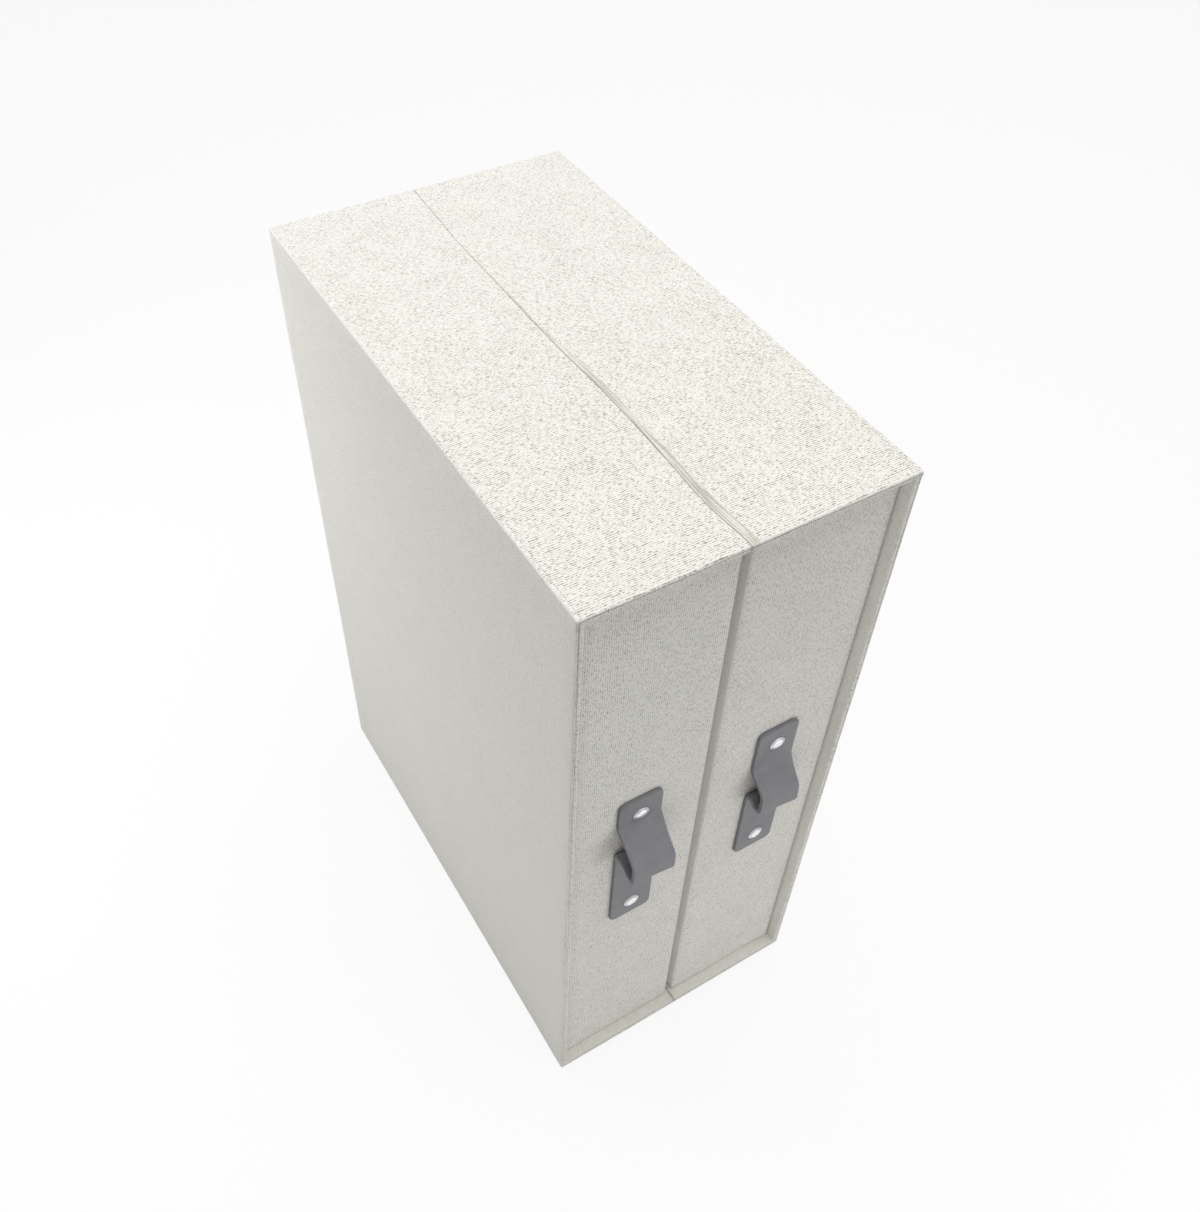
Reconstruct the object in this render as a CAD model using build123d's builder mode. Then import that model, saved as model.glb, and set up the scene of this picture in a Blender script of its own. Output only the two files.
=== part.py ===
from build123d import *

import os
from typing import NamedTuple

# A cloth-covered storage box that stands upright: an open-fronted casing of stiff board,
# a divider, and two tall board drawers side by side, each with a riveted strap pull.
# Millimetres. X is the width, Y the depth with the fronts facing -Y, and Z is up.
# The origin is the middle of the casing's footprint, on the surface that it stands on.

# Casing
casing_width = 131.0
casing_depth = 235.0
casing_height = 330.0
casing_board = 2.0
cloth = 0.4
paper = 0.3
edge_radius = 0.7  # the cloth over the casing's and the drawers' outer edges
turn_in = 20.0  # cloth folded in behind the front rim
turn_over = 15.0  # cloth folded over onto the back and the base
panel_margin = 3.0  # back and base panels, in from the casing's edges
panel_corner = 2.0
panel_fit = 0.2  # between a panel's sunk middle and the folded cloth round it
seam_offset = -4.2  # the joint in the cloth on top, from the middle of the width
seam_gap = 0.8
ledge_slit = 0.8  # the same joint under the divider's foot, at the middle

# Divider
divider_board = 2.0
divider_setback = 10.0  # its cloth edge, behind the casing's rim

# Drawers
drawer_recess = 5.0  # fronts, behind the casing's rim
drawer_board = 2.0
side_gap = 0.6
under_gap = 0.3
over_gap = 1.0
rear_gap = 1.5
front_return = 15.0  # front cloth folded back along the sides and underneath
rim_fold = 12.0  # covers folded down inside the drawer's rim

# Strap pulls
strap_width = 19.5
strap_thickness = 1.8
strap_corner = 3.0
strap_end = 10.0  # past each rivet
rivet_spacing = 67.0
cap_radius = 3.7
cap_height = 1.1
cap_edge = 0.3
shank_radius = 1.5
shank_clearance = 0.05
washer_radius = 4.0
washer_thickness = 0.5
clinch_radius = 2.3
clinch_height = 0.5

# The straps' slack, along their middle layer, from the upper rivet's cap downwards
landing_bend = 2.0  # where it meets the front again, to lie flat down to the lower rivet
left_start = 1.5  # below the cap, where it leaves the drawer's front
left_stand_out = 13.4
left_knee_drop = 13.0  # from the start to where it turns to hang
left_crease_drop = 11.7  # from there to where it folds back up and in
left_landing = 41.0  # above the lower rivet's cap
left_start_bend = 3.0
left_knee_bend = 5.0
left_crease_bend = 2.0
right_start = 11.0
right_stand_out = 10.1
right_knee_drop = 9.0
right_crease_drop = 16.8
right_landing = 36.0
right_start_bend = 8.0
right_knee_bend = 7.0
right_crease_bend = 2.5


class Loop(NamedTuple):
    """How a strap's slack stands out from its drawer."""

    start: float
    stand_out: float
    knee: float
    crease: float
    landing: float
    bends: tuple  # the radii of its four bends, from the top


left_loop = Loop(
    left_start,
    left_stand_out,
    left_knee_drop,
    left_crease_drop,
    left_landing,
    (left_start_bend, left_knee_bend, left_crease_bend, landing_bend),
)
right_loop = Loop(
    right_start,
    right_stand_out,
    right_knee_drop,
    right_crease_drop,
    right_landing,
    (right_start_bend, right_knee_bend, right_crease_bend, landing_bend),
)


class Space(NamedTuple):
    """A square-cornered space, by the places of its six faces."""

    left: float
    right: float
    front: float
    back: float
    low: float
    high: float

    def grown(self, by):
        """The space with each face moved out by the same amount."""
        return Space(
            self.left - by,
            self.right + by,
            self.front - by,
            self.back + by,
            self.low - by,
            self.high + by,
        )


# Spaces that the pieces share, from the outside in
casing = Space(-casing_width / 2, casing_width / 2, -casing_depth / 2, casing_depth / 2, 0, casing_height)
cover = casing._replace(back=casing.back - cloth, low=cloth)
boards = cover.grown(-cloth)
bay = boards.grown(-casing_board)._replace(front=boards.front)
mouth = bay.grown(-cloth)._replace(front=casing.front)
lining_front = casing.front + turn_in
strip_half = divider_board / 2 + cloth
divider_front = casing.front + divider_setback

left_drawer = Space(
    mouth.left + side_gap,
    -strip_half - side_gap,
    casing.front + drawer_recess,
    bay.back - paper - rear_gap,
    mouth.low + under_gap,
    mouth.high - over_gap,
)
right_drawer = left_drawer._replace(left=-left_drawer.right, right=-left_drawer.left)
pull_height = (left_drawer.low + left_drawer.high) / 2
cover_radius = min(edge_radius, 3 * cloth)  # more would cut through the cloth at a corner


def block(space, mode=Mode.ADD):
    """Fill a space, in the part that is being built."""
    with BuildSketch(Plane.XY.offset(space.low)) as plan:
        with Locations(((space.left + space.right) / 2, (space.front + space.back) / 2)):
            Rectangle(space.right - space.left, space.back - space.front)
    extrude(plan.sketch, amount=space.high - space.low, mode=mode)


def drill_rivet_holes(x, front, back):
    """Cut both rivet holes of a pull, from the front to the back of the part being built."""
    with BuildSketch(Plane.XZ.offset(-back)) as holes:
        with Locations((x, pull_height - rivet_spacing / 2), (x, pull_height + rivet_spacing / 2)):
            Circle(shank_radius + shank_clearance)
    extrude(holes.sketch, amount=back - front, mode=Mode.SUBTRACT)


def keep(piece, name):
    """Label a finished piece and write it to its own file."""
    piece.part.label = name
    export_step(piece.part, f"parts/{name}.step")
    print(name, "solids", len(piece.part.solids()), "volume", round(piece.part.volume, 1))


def keep_board(space, name):
    """A plain rectangular board."""
    with BuildPart() as board:
        block(space)
    keep(board, name)


def make_casing_boards():
    """Sides at full height, with the top, bottom, back and divider between them."""
    keep_board(boards._replace(right=bay.left), "casing_left_board")
    keep_board(boards._replace(left=bay.right), "casing_right_board")
    between = boards._replace(left=bay.left, right=bay.right)
    keep_board(between._replace(low=bay.high), "casing_top_board")
    keep_board(between._replace(high=bay.low), "casing_bottom_board")
    keep_board(between._replace(front=bay.back, low=bay.low, high=bay.high), "casing_back_board")
    divider = bay._replace(left=-divider_board / 2, right=divider_board / 2, front=divider_front + cloth)
    keep_board(divider, "divider_board")


def make_casing_cloth():
    """The cover glued round the boards, made whole and then parted into its two pieces."""
    with BuildPart() as whole:
        block(cover)
        fillet(whole.edges(), radius=cover_radius)
        block(boards, mode=Mode.SUBTRACT)
        # The open front, and the cloth folded in behind its rim
        block(mouth._replace(back=boards.front), mode=Mode.SUBTRACT)
        block(bay._replace(back=lining_front))
        block(mouth._replace(back=lining_front), mode=Mode.SUBTRACT)
        # Slots in the folded-in cloth, where the divider passes
        slot = Space(-strip_half, strip_half, divider_front, lining_front, bay.low, bay.high)
        block(slot, mode=Mode.SUBTRACT)
        # Windows that the back and base panels fill
        block(back_window(), mode=Mode.SUBTRACT)
        block(base_window(), mode=Mode.SUBTRACT)

    middle = casing_height / 2
    for name, side in (("casing_cloth_left", -1), ("casing_cloth_right", 1)):
        with BuildPart() as half:
            add(whole.part)
            # Everything across the joint, first on the top half and then on the bottom half
            for joint, gap, low, high in (
                (seam_offset, seam_gap, middle, casing.high),
                (0.0, ledge_slit, casing.low, middle),
            ):
                edge = joint + side * gap / 2
                across = casing.right if side < 0 else casing.left
                left, right = sorted((edge, across))
                block(Space(left, right, casing.front, casing.back, low, high), mode=Mode.SUBTRACT)
        keep(half, name)


def back_window():
    """The middle of the back, inside the folded-over cloth."""
    return Space(
        casing.left + turn_over,
        casing.right - turn_over,
        boards.back,
        cover.back,
        cover.low + turn_over,
        cover.high - turn_over,
    )


def base_window():
    """The middle of the base, inside the folded-over cloth."""
    return Space(
        casing.left + turn_over,
        casing.right - turn_over,
        cover.front + turn_over,
        cover.back - turn_over,
        cover.low,
        boards.low,
    )


def make_panels():
    """Cloth panels over the back and the base, pressed down in the middle onto the boards."""
    window = back_window()
    with BuildPart() as back_panel:
        with BuildSketch(Plane.XZ.offset(-casing.back)):
            with Locations((0, (cover.low + cover.high) / 2)):
                RectangleRounded(
                    casing_width - 2 * panel_margin,
                    cover.high - cover.low - 2 * panel_margin,
                    panel_corner,
                )
        extrude(amount=cloth)
        block(
            window._replace(
                left=window.left + panel_fit,
                right=window.right - panel_fit,
                low=window.low + panel_fit,
                high=window.high - panel_fit,
            )
        )
    keep(back_panel, "casing_back_panel")

    window = base_window()
    with BuildPart() as base_panel:
        with BuildSketch(Plane.XY):
            with Locations((0, (cover.front + cover.back) / 2)):
                RectangleRounded(
                    casing_width - 2 * panel_margin,
                    cover.back - cover.front - 2 * panel_margin,
                    panel_corner,
                )
        extrude(amount=cloth)
        block(
            window._replace(
                left=window.left + panel_fit,
                right=window.right - panel_fit,
                front=window.front + panel_fit,
                back=window.back - panel_fit,
            )
        )
    keep(base_panel, "casing_base_panel")


def make_linings():
    """A paper lining in each bay, and the cloth strip over the divider's front edge."""
    for name, left, right in (
        ("left_bay_lining", bay.left, -divider_board / 2),
        ("right_bay_lining", divider_board / 2, bay.right),
    ):
        outside = bay._replace(left=left, right=right, front=lining_front)
        with BuildPart() as lining:
            block(outside)
            block(outside.grown(-paper)._replace(front=lining_front), mode=Mode.SUBTRACT)
        keep(lining, name)

    strip = Space(-strip_half, strip_half, divider_front, lining_front, bay.low, bay.high)
    with BuildPart() as edge_strip:
        block(strip)
        fillet(edge_strip.faces().sort_by(Axis.Y)[0].edges().filter_by(Axis.Z), radius=cover_radius)
        inside = strip._replace(left=-divider_board / 2, right=divider_board / 2, front=divider_front + cloth)
        block(inside, mode=Mode.SUBTRACT)
    keep(edge_strip, "divider_edge_strip")


def drawer_skin(tray, thickness, front, back):
    """Cover a tray of boards, with the rim folded down inside, over one stretch of its depth."""
    outside = tray.grown(thickness)
    hollow = tray.grown(-drawer_board)
    with BuildPart() as skin:
        block(outside)
        fillet(skin.edges(), radius=min(edge_radius, 3 * thickness))
        block(tray, mode=Mode.SUBTRACT)
        block(hollow._replace(low=tray.high - rim_fold, high=tray.high))
        block(
            hollow.grown(-thickness)._replace(low=tray.high - rim_fold, high=outside.high),
            mode=Mode.SUBTRACT,
        )
        block(outside._replace(front=front, back=back), mode=Mode.INTERSECT)
    return skin


def make_tray(side, outside):
    """One drawer's boards, its covers and its linings."""
    x = (outside.left + outside.right) / 2
    tray = outside.grown(-cloth)
    hollow = tray.grown(-drawer_board)._replace(high=tray.high)
    cloth_end = outside.front + front_return

    with BuildPart() as front_board:
        block(tray._replace(back=hollow.front))
        drill_rivet_holes(x, tray.front, hollow.front)
    keep(front_board, f"{side}_drawer_front_board")
    keep_board(tray._replace(front=hollow.back), f"{side}_drawer_back_board")
    between = tray._replace(front=hollow.front, back=hollow.back)
    keep_board(between._replace(right=hollow.left), f"{side}_drawer_left_board")
    keep_board(between._replace(left=hollow.right), f"{side}_drawer_right_board")
    keep_board(hollow._replace(low=tray.low, high=hollow.low), f"{side}_drawer_bottom_board")

    skin = drawer_skin(tray, cloth, outside.front, cloth_end)
    with BuildPart() as front_cloth:
        add(skin.part)
        drill_rivet_holes(x, outside.front, tray.front)
    keep(front_cloth, f"{side}_drawer_front_cloth")
    keep(drawer_skin(tray, paper, cloth_end, outside.back), f"{side}_drawer_outer_paper")

    walls = hollow._replace(high=tray.high - rim_fold)
    with BuildPart() as lining:
        block(walls)
        block(walls.grown(-paper)._replace(low=walls.low, high=walls.high), mode=Mode.SUBTRACT)
        drill_rivet_holes(x, hollow.front, hollow.front + paper)
    keep(lining, f"{side}_drawer_wall_lining")
    keep_board(walls.grown(-paper)._replace(low=hollow.low, high=hollow.low + paper), f"{side}_drawer_base_sheet")


def make_pull(side, outside, loop):
    """One drawer's strap, held by two rivets that pass through the front to washers inside."""
    x = (outside.left + outside.right) / 2
    face = outside.front
    flat = face - strap_thickness / 2
    out = face - loop.stand_out
    upper = pull_height + rivet_spacing / 2
    lower = pull_height - rivet_spacing / 2
    start = upper - cap_radius - loop.start
    knee = start - loop.knee
    top = (flat, upper + strap_end)
    with BuildPart() as strap:
        with BuildLine(Plane.YZ.offset(x)) as route:
            FilletPolyline(
                top,
                (flat, start),
                (out, knee),
                (out, knee - loop.crease),
                (flat, lower + cap_radius + loop.landing),
                (flat, lower - strap_end),
                radius=loop.bends,
            )
        with BuildSketch(Plane(origin=(x, *top), x_dir=(1, 0, 0), z_dir=(0, 0, -1))):
            Rectangle(strap_width, strap_thickness)
        sweep(path=route.line)
        fillet(strap.edges().filter_by(Axis.Y), radius=min(strap_corner, 0.45 * strap_width))
        drill_rivet_holes(x, face - strap_thickness, face)
    keep(strap, f"{side}_pull_strap")

    under_cap = face - strap_thickness
    lining_face = face + cloth + drawer_board + paper
    washer_face = lining_face + washer_thickness
    with BuildPart() as rivets:
        for height in (lower, upper):
            with BuildSketch(Plane.XY.offset(height)):
                with BuildLine():
                    crown = TangentArc(
                        (x, under_cap - cap_height), (x + cap_radius, under_cap - cap_edge), tangent=(1, 0)
                    )
                    Polyline(
                        crown @ 1,
                        (x + cap_radius, under_cap),
                        (x + shank_radius, under_cap),
                        (x + shank_radius, washer_face),
                        (x + clinch_radius, washer_face),
                        (x + shank_radius, washer_face + clinch_height),
                        (x, washer_face + clinch_height),
                        crown @ 0,
                    )
                make_face()
            revolve(axis=Axis((x, 0, height), (0, 1, 0)))
    keep(rivets, f"{side}_pull_rivets")

    with BuildPart() as washers:
        with BuildSketch(Plane.XZ.offset(-washer_face)):
            with Locations((x, lower), (x, upper)):
                Circle(washer_radius)
                Circle(shank_radius + shank_clearance, mode=Mode.SUBTRACT)
        extrude(amount=washer_thickness)
    keep(washers, f"{side}_pull_washers")


os.makedirs("parts", exist_ok=True)
make_casing_boards()
make_casing_cloth()
make_panels()
make_linings()
for side, outside, loop in (("left", left_drawer, left_loop), ("right", right_drawer, right_loop)):
    make_tray(side, outside)
    make_pull(side, outside, loop)
print("drawer outside", [round(value, 3) for value in left_drawer])
print("pull height", round(pull_height, 3))
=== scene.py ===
# %% [markdown]
# # A cloth-covered drawer box
# The real box is grey board wrapped in cream canvas: an open-fronted casing that holds two tall
# drawers side by side, each with a riveted strap pull. A measured model of every board, cloth and
# rivet is loaded first, and the lesson then dresses it. Loading first means that each new piece can
# take its size and place from what it covers, so nothing is fitted by eye.

# %% Load the measured box
import math

import bmesh
import bpy
from mathutils import Matrix, Vector, noise


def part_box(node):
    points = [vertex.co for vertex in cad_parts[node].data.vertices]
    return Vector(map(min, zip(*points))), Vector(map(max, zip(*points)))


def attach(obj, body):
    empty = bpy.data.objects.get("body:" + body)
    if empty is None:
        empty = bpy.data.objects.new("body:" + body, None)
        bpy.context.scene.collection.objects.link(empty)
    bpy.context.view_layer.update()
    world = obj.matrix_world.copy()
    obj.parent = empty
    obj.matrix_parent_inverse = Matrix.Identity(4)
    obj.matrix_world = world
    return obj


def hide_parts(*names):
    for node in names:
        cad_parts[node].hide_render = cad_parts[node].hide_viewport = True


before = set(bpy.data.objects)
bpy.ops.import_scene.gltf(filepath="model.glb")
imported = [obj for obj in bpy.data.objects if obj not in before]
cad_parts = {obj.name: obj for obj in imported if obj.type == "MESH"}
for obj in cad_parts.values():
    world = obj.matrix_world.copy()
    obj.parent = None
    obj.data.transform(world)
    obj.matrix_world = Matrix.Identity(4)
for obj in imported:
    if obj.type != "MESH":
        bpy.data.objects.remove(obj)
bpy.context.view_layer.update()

# %% [markdown]
# ## Sizes that the dressing shares
# Lengths are metres. What the measured model already knows, such as the board and cloth thicknesses,
# is read from its pieces. The few sizes below it, such as how far the cloth is turned over, are the
# bookbinder's own, and each is named once.

# %% Read the box's own sizes
mm = 0.001

cover_low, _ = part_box("casing_cloth_left")
_, cover_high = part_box("casing_cloth_right")
left_board_low, left_board_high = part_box("casing_left_board")

cloth = left_board_low.x - cover_low.x
rim = left_board_high.x + cloth - cover_low.x
turn_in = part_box("left_bay_lining")[0].y - cover_low.y
half_height = (cover_low.z + cover_high.z) / 2
depth = cover_high.y - cover_low.y
turn_over = 15 * mm
soft_edge = 0.8 * mm  # how round the cloth is over a board's edge
inner_edge = 0.45 * mm  # and round the opening
print("cloth, rim and turn-in, in mm:", [round(length / mm, 2) for length in (cloth, rim, turn_in)])

# %% [markdown]
# ## Shader sums that read like sums
# A weave is arithmetic: sines for the threads, a maximum where one lies over another. Wiring that by
# hand takes dozens of Math nodes. Wrapping each node's output in a small class lets Python's own
# plus, minus and times add those nodes, so a material can be read as a formula. Any other node comes
# from one method, which sets the node's options first and then fills its sockets.

# %% Wrap node outputs so that they add and multiply
class Wire:
    """One output of a node, which Python's arithmetic can use."""

    def __init__(self, finish, socket):
        self.finish = finish
        self.socket = socket

    def __add__(self, other):
        return self.finish.sum("ADD", self, other)

    def __radd__(self, other):
        return self.finish.sum("ADD", other, self)

    def __sub__(self, other):
        return self.finish.sum("SUBTRACT", self, other)

    def __rsub__(self, other):
        return self.finish.sum("SUBTRACT", other, self)

    def __mul__(self, other):
        return self.finish.sum("MULTIPLY", self, other)

    def __rmul__(self, other):
        return self.finish.sum("MULTIPLY", other, self)

    def __truediv__(self, other):
        return self.finish.sum("DIVIDE", self, other)

    def __abs__(self):
        return self.finish.sum("ABSOLUTE", self)

    def output(self, name):
        """Another output of the same node."""
        return Wire(self.finish, self.socket.node.outputs[name])


class Nodes:
    """A tree of shader nodes."""

    def __init__(self, tree):
        self.tree = tree

    def node(self, kind, sockets=None, output=0, **settings):
        """Add a node with its settings, fill its sockets, and return one of its outputs."""
        added = self.tree.nodes.new(kind)
        for setting, value in settings.items():
            setattr(added, setting, value)
        for socket, value in (sockets or {}).items():
            if isinstance(value, Wire):
                self.tree.links.new(value.socket, added.inputs[socket])
            else:
                added.inputs[socket].default_value = value
        return Wire(self, added.outputs[output])

    def sum(self, operation, *values):
        """A Math node."""
        return self.node("ShaderNodeMath", dict(enumerate(values)), operation=operation)

    def mix(self, share, first, second):
        """One colour turning into another."""
        return self.node("ShaderNodeMix", {0: share, 6: first, 7: second}, output=2, data_type="RGBA")

    def noise(self, where, scale, detail=2.0, roughness=0.5, dimensions="3D"):
        """Soft random values about a half. The scale is patches to a metre."""
        sockets = {"Vector": where, "Scale": scale, "Detail": detail, "Roughness": roughness}
        return self.node("ShaderNodeTexNoise", sockets, noise_dimensions=dimensions)

    def fade(self, value, start, end):
        """Nought to one, smoothly, as a value goes from a start to an end."""
        sockets = {"Value": value, "From Min": start, "From Max": end}
        return self.node("ShaderNodeMapRange", sockets, interpolation_type="SMOOTHSTEP")

    def mark(self, name):
        """A value that was marked on the mesh's points or corners."""
        return self.node("ShaderNodeAttribute", output="Fac", attribute_name=name)

    def point(self, x, y, z=0.0):
        """A place made of three numbers."""
        return self.node("ShaderNodeCombineXYZ", {0: x, 1: y, 2: z})


class Finish(Nodes):
    """A material, and the nodes that make its pattern."""

    def __init__(self, name, **surface):
        self.material = bpy.data.materials.new(name)
        self.material.use_nodes = True
        super().__init__(self.material.node_tree)
        self.surface = self.tree.nodes["Principled BSDF"]
        for socket, value in surface.items():
            self.surface.inputs[socket.replace("_", " ")].default_value = value

    def wear(self, colour, roughness, height, depth, strength):
        """Lead what varies over the surface into the shader."""
        bump = self.node("ShaderNodeBump", {"Height": height, "Distance": depth, "Strength": strength})
        self.tree.links.new(colour.socket, self.surface.inputs["Base Color"])
        self.tree.links.new(roughness.socket, self.surface.inputs["Roughness"])
        self.tree.links.new(bump.socket, self.surface.inputs["Normal"])
        return self.material


print("shader sums are ready")

# %% [markdown]
# ## Cream canvas
# Canvas is a plain weave of slubby cream threads. Along the box's height and over its top run the
# warp threads, which stand proud and read as fine ribs. The weft crosses them, thinner and half
# buried, and small dark gaps show where four threads meet; their darkness is painted shade. Two sines
# make the threads: where their product is positive the warp is on top, and elsewhere the weft. The
# pattern lies on a UV map in metres, because a sheet of cloth turns the box's edges and its weave turns
# with it.

# %% Weave the canvas
def canvas_finish():
    """Plain-woven canvas, by a UV map named weave, in metres."""
    sheen = {"Sheen_Weight": 0.15, "Sheen_Roughness": 0.5}
    finish = Finish("cream_canvas", Roughness=0.9, Specular_IOR_Level=0.3, **sheen)
    warp_pitch = 0.85 * mm
    weft_pitch = 0.75 * mm

    cloth_place = finish.node("ShaderNodeUVMap", output="UV", uv_map="weave")
    across = finish.node("ShaderNodeSeparateXYZ", {0: cloth_place}, output="X")
    along = across.output("Y")

    # Threads never lie quite straight
    drift = finish.noise(cloth_place, scale=38.0, dimensions="2D") - 0.5
    kink = finish.noise(cloth_place, scale=420.0, dimensions="2D") - 0.5
    warp_place = across / warp_pitch + drift * 1.6 + kink * 0.35
    weft_place = along / weft_pitch + drift * 1.4 - kink * 0.45
    warp_wave = finish.sum("SINE", warp_place * math.pi)
    weft_wave = finish.sum("SINE", weft_place * math.pi)
    crossing = warp_wave * weft_wave

    # Each thread thickens and thins along its length. Its number, times an odd amount, sets it apart
    warp_count = finish.sum("FLOOR", warp_place)
    weft_count = finish.sum("FLOOR", weft_place)
    on_warp = finish.point(warp_count * 5.3, weft_place * 0.16)
    on_weft = finish.point(weft_count * 4.7, warp_place * 0.22, 9.0)
    warp_slub = finish.noise(on_warp, scale=1.0, dimensions="2D")
    weft_slub = finish.noise(on_weft, scale=1.0)
    warp_height = (abs(warp_wave) + crossing) * (0.22 + warp_slub * 0.62)
    weft_height = (abs(weft_wave) - crossing) * (0.10 + weft_slub * 0.52)
    height = finish.sum("MAXIMUM", warp_height, weft_height)
    on_top = finish.sum("GREATER_THAN", warp_height, weft_height)

    # Between two ribs the cloth is open in short dark dashes, more of them in some patches. Their
    # darkness is painted shade in the gaps, and they also sink the bump
    gap_count = finish.sum("ROUND", warp_place)
    dash = finish.noise(finish.point(gap_count * 3.7, weft_place * 0.55, 4.0), scale=1.0) - 0.5
    patch = finish.noise(cloth_place, scale=60.0, detail=3.0, dimensions="2D") - 0.5
    crisp = finish.mark("crisp")
    openness = (1.0 - abs(warp_wave)) * 0.75 + dash * 2.2 + patch * 0.25
    gaps_and_their_shade = finish.fade(openness, 0.34, 0.84) * crisp

    # Thread colour, with the odd darker fleck
    fleck = finish.fade(finish.noise(cloth_place, scale=900.0, detail=1.0, dimensions="2D"), 0.60, 0.74)
    cloud = finish.noise(cloth_place, scale=22.0, detail=3.0, dimensions="2D")
    weft_tone = finish.mix(weft_slub, (0.82, 0.80, 0.73, 1), (0.97, 0.955, 0.89, 1))
    warp_tone = finish.mix(warp_slub, (0.90, 0.885, 0.82, 1), (1.0, 0.985, 0.93, 1))
    thread = finish.mix(on_top, weft_tone, warp_tone)
    flecked = finish.mix(fleck * 0.3, thread, (0.60, 0.58, 0.52, 1))
    # Painted shade: the open gaps are darkened toward this colour
    shaded = finish.mix(gaps_and_their_shade, flecked, (0.37, 0.355, 0.30, 1))
    # Where the weave is less crisp, its colour and its painted gap shade are evened out toward a plain
    # tone
    evened_out = finish.mix(0.35 + crisp * 0.65, (0.87, 0.86, 0.81, 1), shaded)
    clouded = finish.mix(cloud * 0.10, evened_out, (0.70, 0.70, 0.66, 1))

    # Beside a joint the cloth is dented, and painted shade darkens the band there in fine ridges
    ridge = finish.noise(finish.point(across * 50.0, along * 1500.0), scale=1.0, detail=1.0)
    ridged_shade = finish.mix(finish.fade(ridge, 0.38, 0.62), (0.50, 0.49, 0.42, 1), (0.82, 0.81, 0.73, 1))
    with_joint_shade = finish.mix(finish.mark("dent_and_shade") * 0.85, clouded, ridged_shade)

    # Painted shade: seams, folds, the ledge, the divider's edge and the drawer front beside the rim are
    # darkened toward this colour
    colour = finish.mix(finish.mark("painted_shade"), with_joint_shade, (0.24, 0.23, 0.20, 1))

    roughness = 0.95 - height * 0.15
    return finish.wear(colour, roughness, height - gaps_and_their_shade * 0.4, depth=0.16 * mm, strength=0.55)


canvas = canvas_finish()
print("canvas has", len(canvas.node_tree.nodes), "nodes")

# %% [markdown]
# ## Papers, board, strap and nickel
# The plainer finishes follow the same pattern. Each has one idea: paper is a cloud of short fibres,
# grey board is pulp with dark specks, the strap is coated leather with a pebble grain, and the rivets
# are plated, so they are mirror-like with fine rubbing. Marks on the strap's and the rivets' points
# say where they are darker: the strap's cut edges, painted shade in the crease round each rivet, and a
# painted dark reflection on each cap's rim.

# %% Mix the plainer finishes
def paper_finish(name, colour, shade, emboss=0.0):
    """Smooth paper, or paper embossed with a fine linen grid."""
    finish = Finish(name, Roughness=0.8, Specular_IOR_Level=0.35)
    place = finish.node("ShaderNodeTexCoord", output="Object")
    fibre = finish.noise(place, scale=700.0, detail=4.0, roughness=0.65)
    cloud = finish.noise(place, scale=14.0)
    tint = finish.mix(fibre * 0.5 + cloud * 0.3, (*colour, 1), (*shade, 1))
    height = fibre * 0.35
    if emboss:
        grid_step = 0.7 * mm
        turns = 2 * math.pi / grid_step
        x = finish.node("ShaderNodeSeparateXYZ", {0: place}, output="X")
        uprights = finish.sum("SINE", (x + x.output("Y")) * turns)
        height = height + (uprights + finish.sum("SINE", x.output("Z") * turns)) * emboss
    return finish.wear(tint, 0.72 + fibre * 0.2, height, depth=0.05 * mm, strength=0.5)


def board_finish():
    """Raw grey board, as it shows at a cut edge."""
    finish = Finish("grey_board", Roughness=0.95, Specular_IOR_Level=0.2)
    place = finish.node("ShaderNodeTexCoord", output="Object")
    pulp = finish.noise(place, scale=450.0, detail=5.0, roughness=0.7)
    speck = finish.fade(finish.noise(place, scale=1600.0, detail=1.0), 0.63, 0.70)
    grey = finish.mix(pulp, (0.36, 0.345, 0.32, 1), (0.52, 0.50, 0.47, 1))
    specked = finish.mix(speck * 0.6, grey, (0.20, 0.19, 0.18, 1))
    return finish.wear(specked, 0.85 + pulp * 0.12, pulp, depth=0.1 * mm, strength=0.6)


def strap_finish():
    """Coated grey leather, with a fine pebble grain."""
    finish = Finish("grey_strap", Specular_IOR_Level=0.45)
    place = finish.node("ShaderNodeTexCoord", output="Object")
    pebbles = {"Vector": place, "Scale": 1500.0, "Randomness": 0.9}
    pebble = finish.node("ShaderNodeTexVoronoi", pebbles, output="Distance", feature="DISTANCE_TO_EDGE")
    grain = finish.fade(pebble, 0.0, 0.16)
    cloud = finish.noise(place, scale=160.0, detail=3.0)
    grey = finish.mix(cloud, (0.215, 0.214, 0.233, 1), (0.295, 0.293, 0.314, 1))
    lined = finish.mix(0.75 + grain * 0.25, (0.15, 0.15, 0.16, 1), grey)

    # The cut edges are darker, and painted shade darkens the crease round each rivet
    edged = finish.mix(finish.mark("dark") * 0.32, lined, (0.09, 0.09, 0.10, 1))
    return finish.wear(edged, 0.62 - grain * 0.12, grain + cloud * 0.5, depth=0.06 * mm, strength=0.5)


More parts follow.
